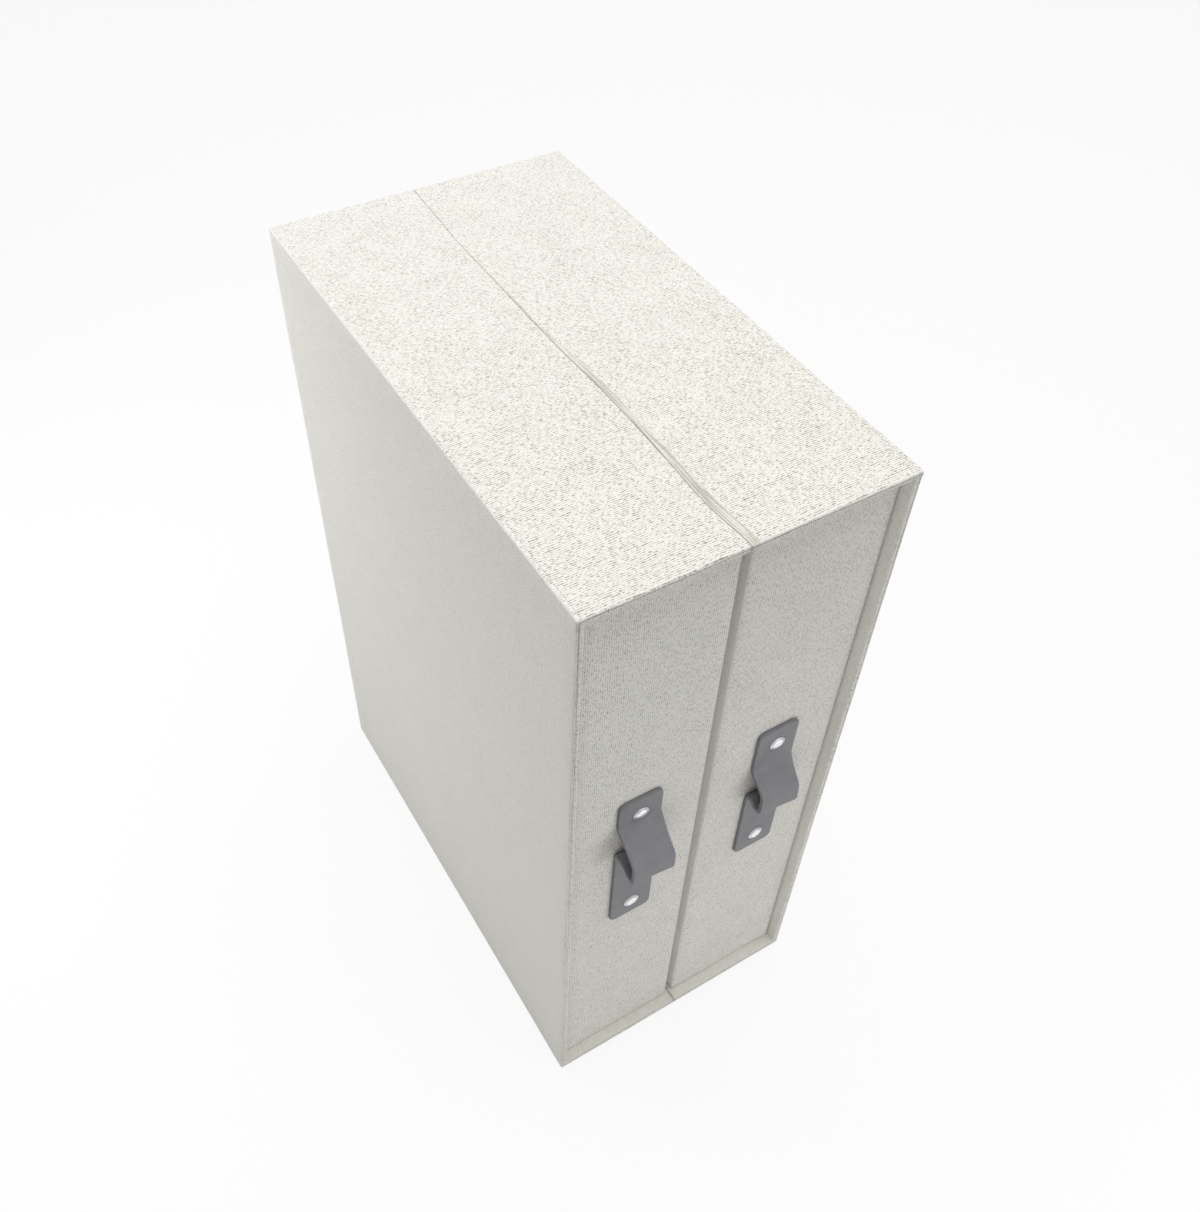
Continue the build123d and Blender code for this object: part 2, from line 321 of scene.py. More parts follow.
def nickel_finish():
    """Bright nickel plate, dulled a little by handling, with a painted dark reflection on each cap's rim.
    """
    finish = Finish("nickel", Metallic=1.0)
    place = finish.node("ShaderNodeTexCoord", output="Object")
    rub = finish.noise(place, scale=900.0, detail=4.0, roughness=0.7)
    cloud = finish.noise(place, scale=240.0)
    tint = finish.mix(cloud, (0.80, 0.80, 0.81, 1), (0.90, 0.90, 0.90, 1))

    # Painted dark reflection: the rim and the line struck round the cap are darkened and made rougher,
    # most at the cap's top and foot, while the middle stays bright
    dull_and_dark_reflection = finish.mark("dull_and_dark_reflection")
    with_dark_reflection = finish.mix(dull_and_dark_reflection * 0.75, tint, (0.22, 0.22, 0.24, 1))
    return finish.wear(with_dark_reflection, 0.14 + rub * 0.16 + dull_and_dark_reflection * 0.15, rub, depth=0.01 * mm, strength=0.3)


lining = paper_finish("lining_paper", (0.86, 0.85, 0.81), (0.76, 0.75, 0.70))
cover = paper_finish("cover_paper", (0.82, 0.81, 0.76), (0.70, 0.69, 0.63), emboss=0.25)
greyboard = board_finish()
strap_leather = strap_finish()
nickel = nickel_finish()
print("made", len(bpy.data.materials), "materials in all")

# %% [markdown]
# ## Small tools for cloth-covered shapes
# Wrapped cloth looks like the box under it with soft edges, so each cover starts as a plain box in
# bmesh. Faces are picked by the way they look, openings come from an inset, edges are rounded with a
# bevel, and the open shell is given the cloth's thickness at the end. Planes cut across the mesh add
# rows of points where the cloth needs to bend.

# %% Define the cloth worker's tools
def box_shell(low, high):
    """A bmesh box between two corners."""
    shell = bmesh.new()
    size = Matrix.Diagonal((*(high - low), 1))
    bmesh.ops.create_cube(shell, size=1, matrix=Matrix.Translation((low + high) / 2) @ size)
    shell.normal_update()
    return shell


def facing(shell, x=0, y=0, z=0):
    """The faces that look one way."""
    return [face for face in shell.faces if face.normal.dot(Vector((x, y, z))) > 0.9]


def drop(shell, unwanted):
    """Cut away the faces whose middles are unwanted."""
    faces = [face for face in shell.faces if unwanted(face.calc_center_median())]
    bmesh.ops.delete(shell, geom=faces, context="FACES")


def fold_in(shell, faces, move):
    """Turn the cloth in behind an opening: walls grow from its edge, and the opening is left open."""
    made = bmesh.ops.extrude_face_region(shell, geom=faces)["geom"]
    points = [item for item in made if isinstance(item, bmesh.types.BMVert)]
    ends = [item for item in made if isinstance(item, bmesh.types.BMFace)]
    bmesh.ops.translate(shell, verts=points, vec=move)
    bmesh.ops.delete(shell, geom=[*faces, *ends], context="FACES")
    shell.normal_update()


def cut(shell, axis, place, wanted=lambda middle: True):
    """Add a row of points where a plane square to an axis crosses the wanted faces."""
    faces = [face for face in shell.faces if wanted(face.calc_center_median())]
    parts = dict.fromkeys(part for face in faces for part in (*face.edges, *face.verts))
    square = Vector((axis == "x", axis == "y", axis == "z"))
    plane = {"plane_co": square * place, "plane_no": square}
    bmesh.ops.bisect_plane(shell, geom=[*faces, *parts], dist=1e-7, **plane)


def quilt(shell, spacing, low, high):
    """Cut rows of points all over, so that the cloth can ripple."""
    for axis, start, end in zip("xyz", low, high):
        rows = max(2, round((end - start) / spacing))
        for row in range(1, rows):
            cut(shell, axis, start + (end - start) * row / rows)


def outer_edges(shell):
    """Edges where two faces turn sharply away from each other."""
    least = math.radians(60)
    pairs = [edge for edge in shell.edges if len(edge.link_faces) == 2]
    return [edge for edge in pairs if edge.is_convex and edge.calc_face_angle() > least]


def soften(shell, edges, radius, segments=3):
    """Round edges off."""
    options = {"offset_type": "OFFSET", "profile": 0.5, "affect": "EDGES", "material": -1}
    bmesh.ops.bevel(shell, geom=edges, offset=radius, segments=segments, **options)
    shell.normal_update()


def ripple(shell, height, wave, still):
    """Let the cloth stand off its board here and there, by up to a given height."""
    shell.normal_update()
    moves = []
    for point in shell.verts:
        if not still(point.co):
            swell = noise.noise(point.co / wave) + 0.4 * noise.noise(point.co * 2.7 / wave)
            moves.append((point, point.normal * height * max(0, 0.4 + 0.6 * swell)))
    for point, move in moves:
        point.co += move


wall_crispness = 0.4  # how clearly the weave shows
front_crispness = 0.8
top_crispness = 0.95  # halfway along the top
crisper_forward = 1.3  # how much this rises for each metre toward the front


def lay_weave(shell):
    """Lay the weave's UV map, in metres: the ribs go up the walls and straight on across the top.

    A second layer says how crisp the weave is, and so how strongly its colour and the painted shade in
    its gaps show: least on the side walls and the other level faces, more on the front, and on the top
    most toward its front.
    """
    weave = shell.loops.layers.uv.new("weave")
    crisp = shell.loops.layers.float.new("crisp")
    shell.normal_update()
    for face in shell.faces:
        look = [abs(part) for part in face.normal]
        main = look.index(max(look))
        for loop in face.loops:
            x, y, z = loop.vert.co
            loop[weave].uv = ((y, z), (x, z), (y, x))[main]
            if main == 2 and z > half_height:
                loop[crisp] = top_crispness - y * crisper_forward
            else:
                loop[crisp] = (wall_crispness, front_crispness, wall_crispness)[main]


def show(shell, name, material, body, slot, *nodes):
    """Turn a finished bmesh into a named piece that rides on a body in place of its plain nodes."""
    mesh = bpy.data.meshes.new(name)
    shell.to_mesh(mesh)
    shell.free()
    mesh.materials.append(material)
    mesh.shade_smooth()
    mesh.set_sharp_from_angle(angle=math.radians(50))
    piece = bpy.data.objects.new(name, mesh)
    bpy.context.scene.collection.objects.link(piece)
    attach(piece, body)
    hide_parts(*nodes)
    print(name, len(mesh.polygons), "faces")
    return piece


def thicken(shell, thickness):
    """Give a one-sided shell its thickness, inwards, once slivers left by the cuts are merged."""
    sliver = 0.02 * mm
    bmesh.ops.remove_doubles(shell, verts=shell.verts[:], dist=sliver)
    shell.normal_update()
    bmesh.ops.solidify(shell, geom=shell.faces[:], thickness=thickness)
    shell.normal_update()


print("tools ready")

# %% [markdown]
# ## The casing's cover
# Two sheets of canvas cover the casing. Each wraps one side and its share of the top, and is turned
# in behind the front rim and over onto the back and the base. They meet in a joint along the top, a
# little left of the middle, and under the divider's foot. The cover is made whole, as one box whose
# front is inset and folded in, and then all that lies across the joint is cut away to leave one sheet.

# %% Wrap the casing and cut one sheet
measured_gap = 0.8 * mm
top_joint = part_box("casing_cloth_right")[0].x - measured_gap  # the gap's left edge
ledge_joint = 0.0
joint_gap = 0.15 * mm
joint_rows = 10  # rows of points beside a joint, so that the cloth can bend there
joint_step = 0.4 * mm


def round_opening(edge):
    """Whether an edge runs round the casing's opening, and not round its outside."""
    inside = cover_high - Vector((rim, rim, rim)) / 2
    above = cover_low.z + rim / 2
    return all(abs(point.co.x) < inside.x and above < point.co.z < inside.z for point in edge.verts)


def whole_cover():
    """The cover of the whole casing, turned in at the front and over onto the back and the base."""
    shell = box_shell(cover_low, cover_high)
    front = facing(shell, y=-1)
    bmesh.ops.inset_region(shell, faces=front, thickness=rim, use_even_offset=True)
    fold_in(shell, front, Vector((0, turn_in, 0)))
    for window in (facing(shell, y=1), facing(shell, z=-1)):
        bmesh.ops.inset_region(shell, faces=window, thickness=turn_over, use_even_offset=True)
        bmesh.ops.delete(shell, geom=window, context="FACES")
    soften(shell, [edge for edge in outer_edges(shell) if round_opening(edge)], inner_edge, 2)
    soften(shell, outer_edges(shell), soft_edge)
    return shell


def keep_one_sheet(shell, side):
    """Cut away what lies across the joint. side is -1 for the left sheet and 1 for the right one."""
    cut(shell, "z", half_height)
    for joint, above in ((top_joint, True), (ledge_joint, False)):
        edge = joint + side * joint_gap / 2
        wanted = lambda middle: (middle.z > half_height) == above
        cut(shell, "x", edge, wanted)
        for row in range(1, joint_rows + 1):
            cut(shell, "x", edge + side * joint_step * row, wanted)
        drop(shell, lambda middle: wanted(middle) and (middle.x - edge) * side < 0)


print("the joint on top is", round(top_joint / mm, 2), "mm from the middle")

# %% [markdown]
# ## Folds, laps and the dented joint, with painted shade
# Glued cloth shows how it was worked. A fold line is pressed into the rim's front, the cloth is double
# along the rim's top and foot, and painted shade darkens every fold. Beside the joint on top the cloth is
# dented, in a band that is widest at the front and darkened with painted shade, and the joint wanders a
# little. Rows of points are cut where these forms need them. Then each point is moved and marked by a few
# small rules, one for each form, because a rule that is read alone is easy to trust.

# %% Fold, lap, dent and shade the sheets
groove = 0.95 * mm  # a fold line pressed into the rim's front, in from its outer edge
groove_half = 0.4 * mm
groove_floor = 0.15 * mm  # half of its flat bottom
groove_depth = 0.3 * mm
edge_fold = 1.8 * mm  # a faint line of painted shade on top beside its outer edge, near the front
edge_fold_half = 0.3 * mm
lap = 1.9 * mm  # the cloth is double this far in from the rim's top and foot
lap_height = 0.2 * mm
lap_slope = 0.2 * mm
corner_fold = 4.5 * mm  # how far down the folded corners hold a shadow
corner_fade = 0.3 * mm
flat_part = 0.1 * mm  # a point this near to a face's plane lies on its flat part
hair = 0.01 * mm  # a point this near to a line lies on it
inside_rim = Vector((cover_high.x - rim - hair, 0, cover_high.z - rim - hair))

# How dark the painted shade is in each fold, from 0 to 1, and how far it takes to fade
groove_shade = 0.5
groove_shade_lost = 0.4
groove_shade_reach = 240 * mm
corner_shade = 0.35
edge_line_shade = 0.4
edge_line_shade_reach = 80 * mm
ledge_shade = 0.13
slit_shade = 0.45  # by the joint in the ledge
slit_half = 0.5 * mm
joint_shade = 0.35
joint_shade_half = 0.3 * mm

# How far the joint wanders to either side of its line, in mm, and how wide the dented band with painted
# shade on its right is, both from the front to the back
joint_wander = [(0, 0.8), (0.1, -0.9), (0.2, 0), (0.33, 0.5), (0.52, -0.8)]
joint_wander += [(0.82, -0.7), (0.92, 0.3), (1, 1.2)]
joint_band = [(0, 3.4), (0.12, 3.4), (0.25, 2.4), (0.42, 2.6), (0.55, 0.9), (1, 0.6)]
left_band = 0.2 * mm
band_edge = 0.3 * mm
band_dent = 0.14 * mm
cloth_skin = 0.5 * mm  # only points this near to the top's face are dented
joint_reach = 12 * mm  # how far to each side the wandering draws the cloth
clear_share = 0.4  # the joint is clear over this share of the depth, and then fades
fading_share = 0.4
faded = 0.8


def along_joint(steps, y):
    """A value at one depth, eased between the steps given by (share of the depth, mm)."""
    share = min(max((y - cover_low.y) / depth, 0), 1)
    for (start, before), (end, after) in zip(steps, steps[1:]):
        if share <= end:
            part = (share - start) / (end - start)
            ease = part * part * (3 - 2 * part)
            return (before + (after - before) * ease) * mm
    return steps[-1][1] * mm


def add_fold_rows(shell, side):
    """Cut rows of points for the laps, the fold lines and the shadow at the corners."""
    on_front = lambda middle: middle.y < cover_low.y + 2 * soft_edge
    on_top = lambda middle: middle.z > cover_high.z - flat_part
    top, foot = cover_high.z, cover_low.z
    folds = (top - corner_fold, top - corner_fold - corner_fade)
    laps = (top - lap, top - lap - lap_slope, foot + lap, foot + lap + lap_slope)
    for height in (*folds, *laps):
        cut(shell, "z", height, on_front)
    for step in (-groove_half, -groove_floor, groove_floor, groove_half):
        inset = groove + step
        cut(shell, "x", side * (cover_high.x - inset), on_front)
        cut(shell, "z", top - inset, on_front)
    for inset in (edge_fold - edge_fold_half, edge_fold, edge_fold + edge_fold_half):
        cut(shell, "x", side * (cover_high.x - inset), on_top)


def fold_rim(point, side, painted_shade):
    """Press the fold line into the rim's front, and paint shade into the folds, a line on top and the
    ledge.
    """
    place = point.co
    flat_front = place.y < cover_low.y + flat_part
    from_side = cover_high.x - abs(place.x)
    below_top = cover_high.z - place.z
    # The rules below paint shade: in the groove, in the folded corners, in a line on top and on the
    # ledge, darkest at the slit
    if flat_front and abs(min(from_side, below_top) - groove) < groove_floor + hair:
        point[painted_shade] = groove_shade - groove_shade_lost * min(1.0, below_top / groove_shade_reach)
        place.y += groove_depth
    if flat_front and below_top < corner_fold + hair and from_side < groove + groove_half:
        point[painted_shade] = max(point[painted_shade], corner_shade)
    if below_top < flat_part and abs(from_side - edge_fold) < hair:
        point[painted_shade] = edge_line_shade * max(0.0, 1 - (place.y - cover_low.y) / edge_line_shade_reach)
    if place.z < rim + soft_edge and abs(place.x) < inside_rim.x and place.y < cover_low.y + turn_in:
        point[painted_shade] = slit_shade if side * place.x < slit_half else ledge_shade


def rub_joint(point, side, painted_shade, dent_and_shade):
    """Beside the joint on top, dent the cloth, paint shade on that band and on the joint's edge, and let
    the joint wander.
    """
    place = point.co
    away = side * (place.x - top_joint)
    if place.z <= cover_high.z - rim - soft_edge or away >= joint_reach:
        return
    band = along_joint(joint_band, place.y) if side > 0 else left_band
    past_clear = max(0.0, (place.y - cover_low.y) / depth - clear_share)
    clear = 1 - faded * min(1.0, past_clear / fading_share)
    near = min(1.0, max(0.0, (band - away) / band_edge + 0.5)) * clear
    point[dent_and_shade] = max(point[dent_and_shade], near)
    # Painted shade along the joint's edge
    if away < joint_shade_half:
        point[painted_shade] = joint_shade * clear
    if place.z > cover_high.z - cloth_skin:
        place.z -= band_dent * near
    place.x += along_joint(joint_wander, place.y) * max(0.0, 1 - away / joint_reach)


def raise_lap(point):
    """Raise the double cloth along the rim's top and foot."""
    place = point.co
    on_lap = place.z > cover_high.z - lap or place.z < cover_low.z + lap
    if on_lap and place.y < cover_low.y + soft_edge * 0.9:
        place.y -= lap_height


def behind_rim(point):
    """Whether a point lies in behind the rim or on the back, where the cloth has to keep still."""
    return abs(point.x) < inside_rim.x and cover_low.z + rim < point.z < inside_rim.z


def casing_canvas(side):
    """One of the casing's two sheets."""
    shell = whole_cover()
    keep_one_sheet(shell, side)
    add_fold_rows(shell, side)
    quilt(shell, spacing=7 * mm, low=cover_low, high=cover_high)
    lay_weave(shell)
    dent_and_shade = shell.verts.layers.float.new("dent_and_shade")
    painted_shade = shell.verts.layers.float.new("painted_shade")
    ripple(shell, height=0.22 * mm, wave=45 * mm, still=behind_rim)
    for point in shell.verts:
        fold_rim(point, side, painted_shade)
        rub_joint(point, side, painted_shade, dent_and_shade)
        raise_lap(point)
    thicken(shell, cloth)
    return shell


for name, side in (("left", -1), ("right", 1)):
    shell = casing_canvas(side)
    piece = show(shell, f"{name}_casing_canvas", canvas, "casing", "canvas_cloth", f"casing_cloth_{name}")

# %% [markdown]
# ## Panels on the back and the base
# The folded-over edges are hidden by a panel of the same canvas, with rounded corners. Its middle lies
# on the board, and its margin rides up over the folded cloth, so a faint frame shows through it. A
# grid is shaped into the panel by moving its points: corners first, then the step.

# %% Lay the back and base panels
panel_corner = 2.0 * mm
panel_margin = 3 * mm  # the measured panels stop this far in from the casing's edges
panel_step = 2.5 * mm  # between the rows of points, and across the slope down to the sunken middle
panel_wave = 0.12 * mm
panel_wave_length = 40 * mm


def canvas_panel(node, thin):
    """A rounded panel with a sunken middle. thin is the number of the axis that it is thin along."""
    low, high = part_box(node)
    wide, tall = [number for number in range(3) if number != thin]
    size = high - low
    middle = (low + high) / 2
    outward = 1 if thin == 1 else -1
    panel = bmesh.new()
    columns, rows = (round(size[number] / panel_step) for number in (wide, tall))
    bmesh.ops.create_grid(panel, x_segments=columns, y_segments=rows, size=0.5)
    for point in panel.verts:
        across, along = point.co.x * size[wide], point.co.y * size[tall]
        from_side = size[wide] / 2 - abs(across)
        from_end = size[tall] / 2 - abs(along)

        # Points in the corner squares are drawn onto the corner's arc
        if from_side < panel_corner and from_end < panel_corner:
            reach = Vector((panel_corner - from_side, panel_corner - from_end))
            if reach.length > 0:
                scale = max(reach) / reach.length
                across = math.copysign(size[wide] / 2 - panel_corner + reach.x * scale, across)
                along = math.copysign(size[tall] / 2 - panel_corner + reach.y * scale, along)

        # Past the folded cloth the panel sinks onto the board
        inside = min(from_side, from_end) - (turn_over - panel_margin)
        sunk = cloth * min(1.0, max(0.0, inside / panel_step))
        place = Vector((0, 0, 0))
        place[wide] = middle[wide] + across
        place[tall] = middle[tall] + along
        face = high[thin] if outward > 0 else low[thin]
        wave = panel_wave * noise.noise(Vector((across, along, 0.0)) / panel_wave_length)
        place[thin] = face - outward * (sunk + max(0.0, wave))
        point.co = place
    bmesh.ops.recalc_face_normals(panel, faces=panel.faces)
    panel.normal_update()
    toward = Vector((0, 0, 0))
    toward[thin] = outward
    panel.faces.ensure_lookup_table()
    if panel.faces[0].normal.dot(toward) < 0:
        bmesh.ops.reverse_faces(panel, faces=panel.faces)
    lay_weave(panel)
    thicken(panel, cloth)
    return panel, (size[wide], size[tall])


for name, node, thin, board in (
    ("back_canvas_panel", "casing_back_panel", 1, "casing_back_board"),
    ("base_canvas_panel", "casing_base_panel", 2, "casing_bottom_board"),
):
    panel, flat = canvas_panel(node, thin)
    piece = show(panel, name, canvas, "casing", "canvas_cloth", node)

# %% [markdown]
# ## The divider's edge
# A strip of canvas folds round the divider's front edge. It is a box without its back, whose two front
# corners are rounded until they nearly meet.

# %% Fold the strip round the divider
strip_bend = 1.1 * mm
strip_rows = 60
strip_shade = 0.12  # painted shade, since it stands deep in the slot between the drawers
strip_low, strip_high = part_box("divider_edge_strip")
strip = box_shell(strip_low, strip_high)
for faces in (facing(strip, y=1), facing(strip, z=1), facing(strip, z=-1)):
    bmesh.ops.delete(strip, geom=faces, context="FACES")
soften(strip, outer_edges(strip), strip_bend, 4)
for row in range(1, strip_rows):
    cut(strip, "z", strip_low.z + (strip_high.z - strip_low.z) * row / strip_rows)
lay_weave(strip)
strip_painted_shade = strip.verts.layers.float.new("painted_shade")
for point in strip.verts:
    point[strip_painted_shade] = strip_shade
ripple(strip, height=0.08 * mm, wave=20 * mm, still=lambda point: point.y > strip_low.y + 1 * mm)
thicken(strip, cloth)
edge_strip = show(strip, "divider_canvas_edge", canvas, "casing", "canvas_cloth", "divider_edge_strip")

# %% [markdown]
# ## The drawers' fronts
# Each drawer's front is wrapped in canvas that goes round to its sides and underneath, and folds down
# inside over the rim. The whole drawer's box is softened, its top is inset and folded in, and all
# that lies behind the cloth's end is cut away.

# %% Wrap the drawers' fronts
rim_shadow_width = 6.5 * mm  # the rim's painted shadow lies on the left front this far in from its outer edge
rim_shadow = {"left": 0.16, "right": 0.0}
rim_shadow_rows = (2.5 * mm, 4.5 * mm, rim_shadow_width)


def front_canvas(name):
    """The canvas on one drawer's front, with the size that it was cut to."""
    low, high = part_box(f"{name}_drawer_front_cloth")
    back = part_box(f"{name}_drawer_outer_paper")[1].y
    lining_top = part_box(f"{name}_drawer_wall_lining")[1].z
    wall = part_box(f"{name}_drawer_front_board")
    thickness = wall[1].y - wall[0].y + 2 * cloth
    fold = high.z - lining_top
    shell = box_shell(low, Vector((high.x, back, high.z)))
    top = facing(shell, z=1)
    bmesh.ops.inset_region(shell, faces=top, thickness=thickness, use_even_offset=True)
    fold_in(shell, top, Vector((0, 0, -fold)))
    soften(shell, outer_edges(shell), soft_edge)
    cut(shell, "y", high.y)
    drop(shell, lambda middle: middle.y > high.y)
    outer_edge = low.x if name == "left" else high.x
    toward_middle = 1 if name == "left" else -1
    for inset in rim_shadow_rows:
        cut(shell, "x", outer_edge + toward_middle * inset)
    quilt(shell, spacing=5 * mm, low=low, high=high)
    lay_weave(shell)
    # Painted shadow of the casing's rim on the left front, fading in from its outer edge
    painted_shade = shell.verts.layers.float.new("painted_shade")
    for point in shell.verts:
        from_edge = abs(point.co.x - outer_edge)
        point[painted_shade] = rim_shadow[name] * max(0.0, 1 - from_edge / rim_shadow_width)
    ripple(shell, height=0.2 * mm, wave=40 * mm, still=lambda point: point.y > low.y + 0.05 * mm)
    thicken(shell, cloth)
    width, height = high.x - low.x, high.z - low.z
    returns = high.y - low.y
    flat = (width + 2 * returns, height + returns + thickness + fold)
    area = width * flat[1] + 2 * returns * (height + thickness + fold)
    return shell, flat, area


for name in ("left", "right"):
    shell, flat, area = front_canvas(name)
    node = f"{name}_drawer_front_cloth"
    piece = show(shell, f"{name}_front_canvas", canvas, f"{name}_drawer", "canvas_cloth", node)

# %% [markdown]
# ## Strap pulls
# A strap is a flat strip of leather, riveted at both ends, with slack that stands out as a loop. It is
# easiest to make it flat, where its rounded ends and soft edges are simple, and then to lay it along
# its route: straight runs joined by round bends. Each point keeps its place across the strip and its
# height in the leather, and its distance along the strip says where on the route it goes.

# %% Draw the straps' routes
strap_thickness = 1.8 * mm
strap_end = 10.0 * mm  # the strap's ends, past the rivets
cap_radius = 3.7 * mm


class Route:
    """A path in the plane of a drawer's depth and height, of straight runs and round bends."""

    def __init__(self, corners, radii):
        self.pieces = []
        corners = [Vector(corner) for corner in corners]
        at = corners[0]
        for before, corner, after, radius in zip(corners, corners[1:], corners[2:], radii):
            inward = (corner - before).normalized()
            outward = (after - corner).normalized()
            turn = inward.angle_signed(outward)
            reach = radius * math.tan(abs(turn) / 2)
            start = corner - inward * reach
            self.pieces.append((at, inward, (start - at).length, 0.0))
            self.pieces.append((start, inward, radius * abs(turn), turn))
            at = corner + outward * reach
        last = corners[-1] - at
        self.pieces.append((at, last.normalized(), last.length, 0.0))
        self.length = sum(piece[2] for piece in self.pieces)

    def place(self, distance):
        """The point and the direction at a distance from the start."""
        distance = min(distance, self.length - 1e-9)
        for start, way, length, turn in self.pieces:
            if distance <= length:
                break
            distance -= length
        if not turn:
            return start + way * distance, way
        spoke = Vector((way.y, -way.x)) * math.copysign(length / abs(turn), turn)
        spun = Matrix.Rotation(-turn * distance / length, 2)
        return start + spoke - spun @ spoke, spun @ way


# Where each strap leaves the drawer's front below its upper cap, how far it stands out, its drops to
# the knee and on to the crease, its landing above the lower cap, and the radii of its four bends
loops = {
    "left": (1.5 * mm, 13.4 * mm, 13.0 * mm, 11.7 * mm, 41.0 * mm, (3 * mm, 5 * mm, 2 * mm, 2 * mm)),
    "right": (11.0 * mm, 10.1 * mm, 9.0 * mm, 16.8 * mm, 36.0 * mm, (8 * mm, 7 * mm, 2.5 * mm, 2 * mm)),
}


def strap_route(name):
    """The route of a strap's middle layer, from its top end down."""
    leave, stand_out, knee_drop, crease_drop, landing, bends = loops[name]
    low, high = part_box(f"{name}_pull_strap")
    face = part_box(f"{name}_drawer_front_cloth")[0].y
    flat = face - strap_thickness / 2
    start = high.z - strap_end - cap_radius - leave
    knee = start - knee_drop
    corners = [
        (flat, high.z),
        (flat, start),
        (face - stand_out, knee),
        (face - stand_out, knee - crease_drop),
        (flat, low.z + strap_end + cap_radius + landing),
        (flat, low.z),
    ]
    return Route(corners, bends)


for name in loops:
    print(name, "strap is", round(strap_route(name).length / mm, 1), "mm long")

# %% [markdown]
# ## The leather of the straps
# Leather isn't a plain strip. The rivets squeeze it, so it is raised in a ring round each cap, and
# painted shade darkens the crease. Where nothing holds it down it waves a little. A strap starts as a
# grid whose corners are drawn in and whose edges are softened. Each of its points is then carried to its
# place on the route, and the whole loop is skewed a little, since it hangs higher at its left.

# %% Lay the straps along their routes
strap_corner = 3.0 * mm
strap_edge = 0.4 * mm
strap_columns = 28
strap_step = 0.7 * mm  # between rows of points along the strap
skews = {"left": 0.16, "right": 0.18}  # how much higher a loop hangs at its left, as a slope
full_skew = 5 * mm  # how far a strap stands out where its slope is all there
ring_rise = 0.25 * mm
ring_width = 0.9 * mm
cap_press = 0.1 * mm
crease_shade = 0.6
crease_width = 0.5 * mm
held_flat = 9 * mm  # this near to a rivet the leather lies flat
loosening = 8 * mm
leather_wave = 0.4 * mm
wave_length = 11 * mm


def flat_strap(length, width):
    """A strap lying flat, with round corners and soft edges, its top end at the origin."""
    strap = bmesh.new()
    rows = round(length / strap_step)
    bmesh.ops.create_grid(strap, x_segments=strap_columns, y_segments=rows, size=0.5)
    for point in strap.verts:
        along = (0.5 - point.co.y) * length
        short = max(0.0, strap_corner - min(along, length - along))
        narrow = strap_corner - math.sqrt(max(0.0, strap_corner**2 - short**2))
        point.co = Vector((point.co.x * (width - 2 * narrow), -along, strap_thickness / 2))
    thicken(strap, strap_thickness)
    soften(strap, outer_edges(strap), strap_edge, 2)
    return strap


def bump_at(distance, width):
    """One where a distance is nought, and falling smoothly to nought over about two widths."""
    return math.exp(-((distance / width) ** 2))


def make_strap(name):
    """One strap laid along its route, with the leather raised round its rivets."""
    route = strap_route(name)
    low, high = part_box(f"{name}_pull_strap")
    middle = (low.x + high.x) / 2
    strap = flat_strap(route.length, high.x - low.x)
    rivets = (strap_end, route.length - strap_end)
    face = high.y
    dark = strap.verts.layers.float.new("dark")
    for point in strap.verts:
        across, along, lift = point.co.x, -point.co.y, point.co.z
        cut_edge = abs(lift) < strap_thickness / 2 - 0.1 * mm
        spot, way = route.place(along)
        out = Vector((way.y, -way.x))
        from_rivet = min(math.hypot(across, along - rivet) for rivet in rivets)
        if lift > 0:
            lift += ring_rise * bump_at(from_rivet - cap_radius - ring_width, ring_width)
            lift -= cap_press if from_rivet < cap_radius else 0
        free = max(0.0, min(1.0, (from_rivet - held_flat) / loosening))
        lift += free * leather_wave * noise.noise(Vector((across, along, middle)) / wave_length)
        # The cut edges are dark leather; the crease round each rivet gets painted shade
        point[dark] = max(float(cut_edge), crease_shade * bump_at(from_rivet - cap_radius, crease_width))
        loose = min(1.0, max(0.0, (face - spot.x - strap_thickness) / full_skew))
        spot = spot + out * lift
        point.co = Vector((middle + across, spot.x, spot.y - skews[name] * across * loose))
    show(strap, f"{name}_strap", strap_leather, f"{name}_drawer", "strap_leather", f"{name}_pull_strap")


for name in ("left", "right"):
    make_strap(name)

# %% [markdown]
# ## Rivets and washers
# A rivet is round, so half of its outline is spun about its own axis. The cap is a shallow dome with
# a fine line struck round it and a rim that rolls under, and behind the drawer's front the shank is
# clinched over a washer. Both rivets of a strap are spun into one mesh.

# %% Spin the rivets and washers
shank_radius = 1.5 * mm
cap_height = 1.1 * mm
cap_roll = 0.3 * mm
dome_radius = 9.0 * mm
line_radius = 2.55 * mm  # the struck line
line_width = 0.12 * mm
line_depth = 0.07 * mm
dark_reflection_from = 0.75  # the share of the cap's radius where the painted dark reflection and the dullness start on its rim
dark_reflection_ends = 1.35  # at a cap's top and foot the painted dark reflection reaches further in, by this much
washer_radius = 4 * mm
washer_chamfer = 0.12 * mm


def spin_round(shell, outline, centre):
    """Spin half an outline, given as (distance from the axis, depth), about a line along the depth."""
    points = [shell.verts.new(centre + Vector((radius, depth, 0))) for radius, depth in outline]
    edges = [shell.edges.new(pair) for pair in zip(points, points[1:])]
    options = {"axis": (0, 1, 0), "angle": math.tau, "steps": 48, "use_merge": True}
    bmesh.ops.spin(shell, geom=[*points, *edges], cent=centre, **options)
    bmesh.ops.remove_doubles(shell, verts=shell.verts, dist=1e-6)


def arc(centre, radius, start, end, steps):
    """Points on part of a circle, with angles in degrees."""
    angles = [math.radians(start + (end - start) * step / steps) for step in range(steps + 1)]
    spokes = [(radius * math.cos(angle), radius * math.sin(angle)) for angle in angles]
    return [(centre[0] + across, centre[1] + along) for across, along in spokes]


